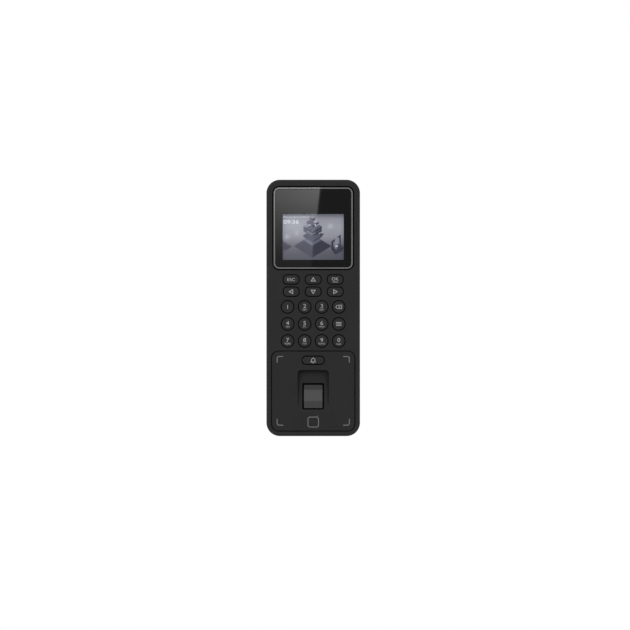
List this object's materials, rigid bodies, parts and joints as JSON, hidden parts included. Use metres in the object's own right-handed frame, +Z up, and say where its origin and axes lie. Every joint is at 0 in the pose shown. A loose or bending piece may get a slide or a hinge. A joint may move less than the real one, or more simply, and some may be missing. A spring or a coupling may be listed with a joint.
{
  "type": "fingerprint scanner terminal",
  "caption": "Slim wall-mounted access terminal with a colour screen, rows of press keys, a doorbell key and an optical fingerprint sensor in a sloping finger well.",
  "frame": {"origin": "centre of the wall plate's back face, where it meets the wall", "axes": "+X to the right as seen from the front, +Y back into the wall, +Z up"},
  "size_m": [0.075, 0.0285, 0.2056],
  "materials": {
    "housing": "fine moulded texture, dark charcoal",
    "keys": "satin, pale printed legends",
    "trim": "satin silver",
    "display_glass": "glossy, black-printed border",
    "screen": "lit colour panel",
    "sensor_glass": "coated optical glass",
    "clear_plastic": "clear moulded prism",
    "inner_plastic": "black moulding",
    "black_rubber": "matt",
    "grey_rubber": "matt silicone",
    "circuit_board": "green solder mask",
    "flex_ribbon": "amber film",
    "relay_blue": "semi-gloss",
    "header_white": "ivory nylon",
    "steel": "plated",
    "zinc_plate": "zinc-plated sheet"
  },
  "bodies": {
    "terminal": {"front_cover": "housing", "rear_cover": "housing", "lower_panel": "housing", "display_trim": "trim", "display_window": "display_glass", "window_adhesive": "black_rubber", "lcd_module": "screen", "lcd_bracket": "inner_plastic", "key_mat": "grey_rubber", "doorbell_pad": "grey_rubber", "key_board": "circuit_board", "antenna_board": "circuit_board", "main_board": "circuit_board", "sensor_board": "circuit_board", "board_connector": "inner_plastic", "processor": "inner_plastic", "coin_cell": "steel", "relay": "relay_blue", "wiring_header": "header_white", "power_header": "header_white", "tamper_switch": "inner_plastic", "tamper_spring": "steel", "speaker": "inner_plastic", "sensor_window": "sensor_glass", "sensor_seal": "black_rubber", "sensor_prism": "clear_plastic", "sensor_housing": "inner_plastic", "sensor_lens": "inner_plastic", "sensor_flex": "flex_ribbon", "housing_seal": "black_rubber", "wall_plate": "zinc_plate", "security_screw": "steel", "housing_screw_1": "steel", "housing_screw_2": "steel", "housing_screw_3": "steel", "housing_screw_4": "steel", "board_screw_1": "steel", "board_screw_2": "steel", "board_screw_3": "steel", "board_screw_4": "steel"},
    "escape_button": {"key_escape": "keys"},
    "up_button": {"key_up": "keys"},
    "confirm_button": {"key_confirm": "keys"},
    "left_button": {"key_left": "keys"},
    "down_button": {"key_down": "keys"},
    "right_button": {"key_right": "keys"},
    "button_1": {"key_1": "keys"},
    "button_2": {"key_2": "keys"},
    "button_3": {"key_3": "keys"},
    "delete_button": {"key_delete": "keys"},
    "button_4": {"key_4": "keys"},
    "button_5": {"key_5": "keys"},
    "button_6": {"key_6": "keys"},
    "menu_button": {"key_menu": "keys"},
    "button_7": {"key_7": "keys"},
    "button_8": {"key_8": "keys"},
    "button_9": {"key_9": "keys"},
    "button_0": {"key_0": "keys"},
    "doorbell_button": {"key_doorbell": "keys"},
    "tamper_pin": {"tamper_plunger": "inner_plastic"}
  },
  "joints": [
    {"name": "press_escape", "type": "slide", "parent": "terminal", "child": "escape_button", "axis": [0, 1, 0], "range_m": [0, 0.0009], "stiffness_N_per_m": 600, "springref_m": -0.001},
    {"name": "press_up", "type": "slide", "parent": "terminal", "child": "up_button", "axis": [0, 1, 0], "range_m": [0, 0.0009], "stiffness_N_per_m": 600, "springref_m": -0.001},
    {"name": "press_confirm", "type": "slide", "parent": "terminal", "child": "confirm_button", "axis": [0, 1, 0], "range_m": [0, 0.0009], "stiffness_N_per_m": 600, "springref_m": -0.001},
    {"name": "press_left", "type": "slide", "parent": "terminal", "child": "left_button", "axis": [0, 1, 0], "range_m": [0, 0.0009], "stiffness_N_per_m": 600, "springref_m": -0.001},
    {"name": "press_down", "type": "slide", "parent": "terminal", "child": "down_button", "axis": [0, 1, 0], "range_m": [0, 0.0009], "stiffness_N_per_m": 600, "springref_m": -0.001},
    {"name": "press_right", "type": "slide", "parent": "terminal", "child": "right_button", "axis": [0, 1, 0], "range_m": [0, 0.0009], "stiffness_N_per_m": 600, "springref_m": -0.001},
    {"name": "press_1", "type": "slide", "parent": "terminal", "child": "button_1", "axis": [0, 1, 0], "range_m": [0, 0.0009], "stiffness_N_per_m": 600, "springref_m": -0.001},
    {"name": "press_2", "type": "slide", "parent": "terminal", "child": "button_2", "axis": [0, 1, 0], "range_m": [0, 0.0009], "stiffness_N_per_m": 600, "springref_m": -0.001},
    {"name": "press_3", "type": "slide", "parent": "terminal", "child": "button_3", "axis": [0, 1, 0], "range_m": [0, 0.0009], "stiffness_N_per_m": 600, "springref_m": -0.001},
    {"name": "press_delete", "type": "slide", "parent": "terminal", "child": "delete_button", "axis": [0, 1, 0], "range_m": [0, 0.0009], "stiffness_N_per_m": 600, "springref_m": -0.001},
    {"name": "press_4", "type": "slide", "parent": "terminal", "child": "button_4", "axis": [0, 1, 0], "range_m": [0, 0.0009], "stiffness_N_per_m": 600, "springref_m": -0.001},
    {"name": "press_5", "type": "slide", "parent": "terminal", "child": "button_5", "axis": [0, 1, 0], "range_m": [0, 0.0009], "stiffness_N_per_m": 600, "springref_m": -0.001},
    {"name": "press_6", "type": "slide", "parent": "terminal", "child": "button_6", "axis": [0, 1, 0], "range_m": [0, 0.0009], "stiffness_N_per_m": 600, "springref_m": -0.001},
    {"name": "press_menu", "type": "slide", "parent": "terminal", "child": "menu_button", "axis": [0, 1, 0], "range_m": [0, 0.0009], "stiffness_N_per_m": 600, "springref_m": -0.001},
    {"name": "press_7", "type": "slide", "parent": "terminal", "child": "button_7", "axis": [0, 1, 0], "range_m": [0, 0.0009], "stiffness_N_per_m": 600, "springref_m": -0.001},
    {"name": "press_8", "type": "slide", "parent": "terminal", "child": "button_8", "axis": [0, 1, 0], "range_m": [0, 0.0009], "stiffness_N_per_m": 600, "springref_m": -0.001},
    {"name": "press_9", "type": "slide", "parent": "terminal", "child": "button_9", "axis": [0, 1, 0], "range_m": [0, 0.0009], "stiffness_N_per_m": 600, "springref_m": -0.001},
    {"name": "press_0", "type": "slide", "parent": "terminal", "child": "button_0", "axis": [0, 1, 0], "range_m": [0, 0.0009], "stiffness_N_per_m": 600, "springref_m": -0.001},
    {"name": "press_doorbell", "type": "slide", "parent": "terminal", "child": "doorbell_button", "axis": [0, 1, 0], "range_m": [0, 0.0009], "stiffness_N_per_m": 600, "springref_m": -0.001},
    {"name": "tamper_release", "type": "slide", "parent": "terminal", "child": "tamper_pin", "axis": [0, 1, 0], "range_m": [0, 0.0017], "stiffness_N_per_m": 150, "deforming": ["tamper_spring"]}
  ]
}
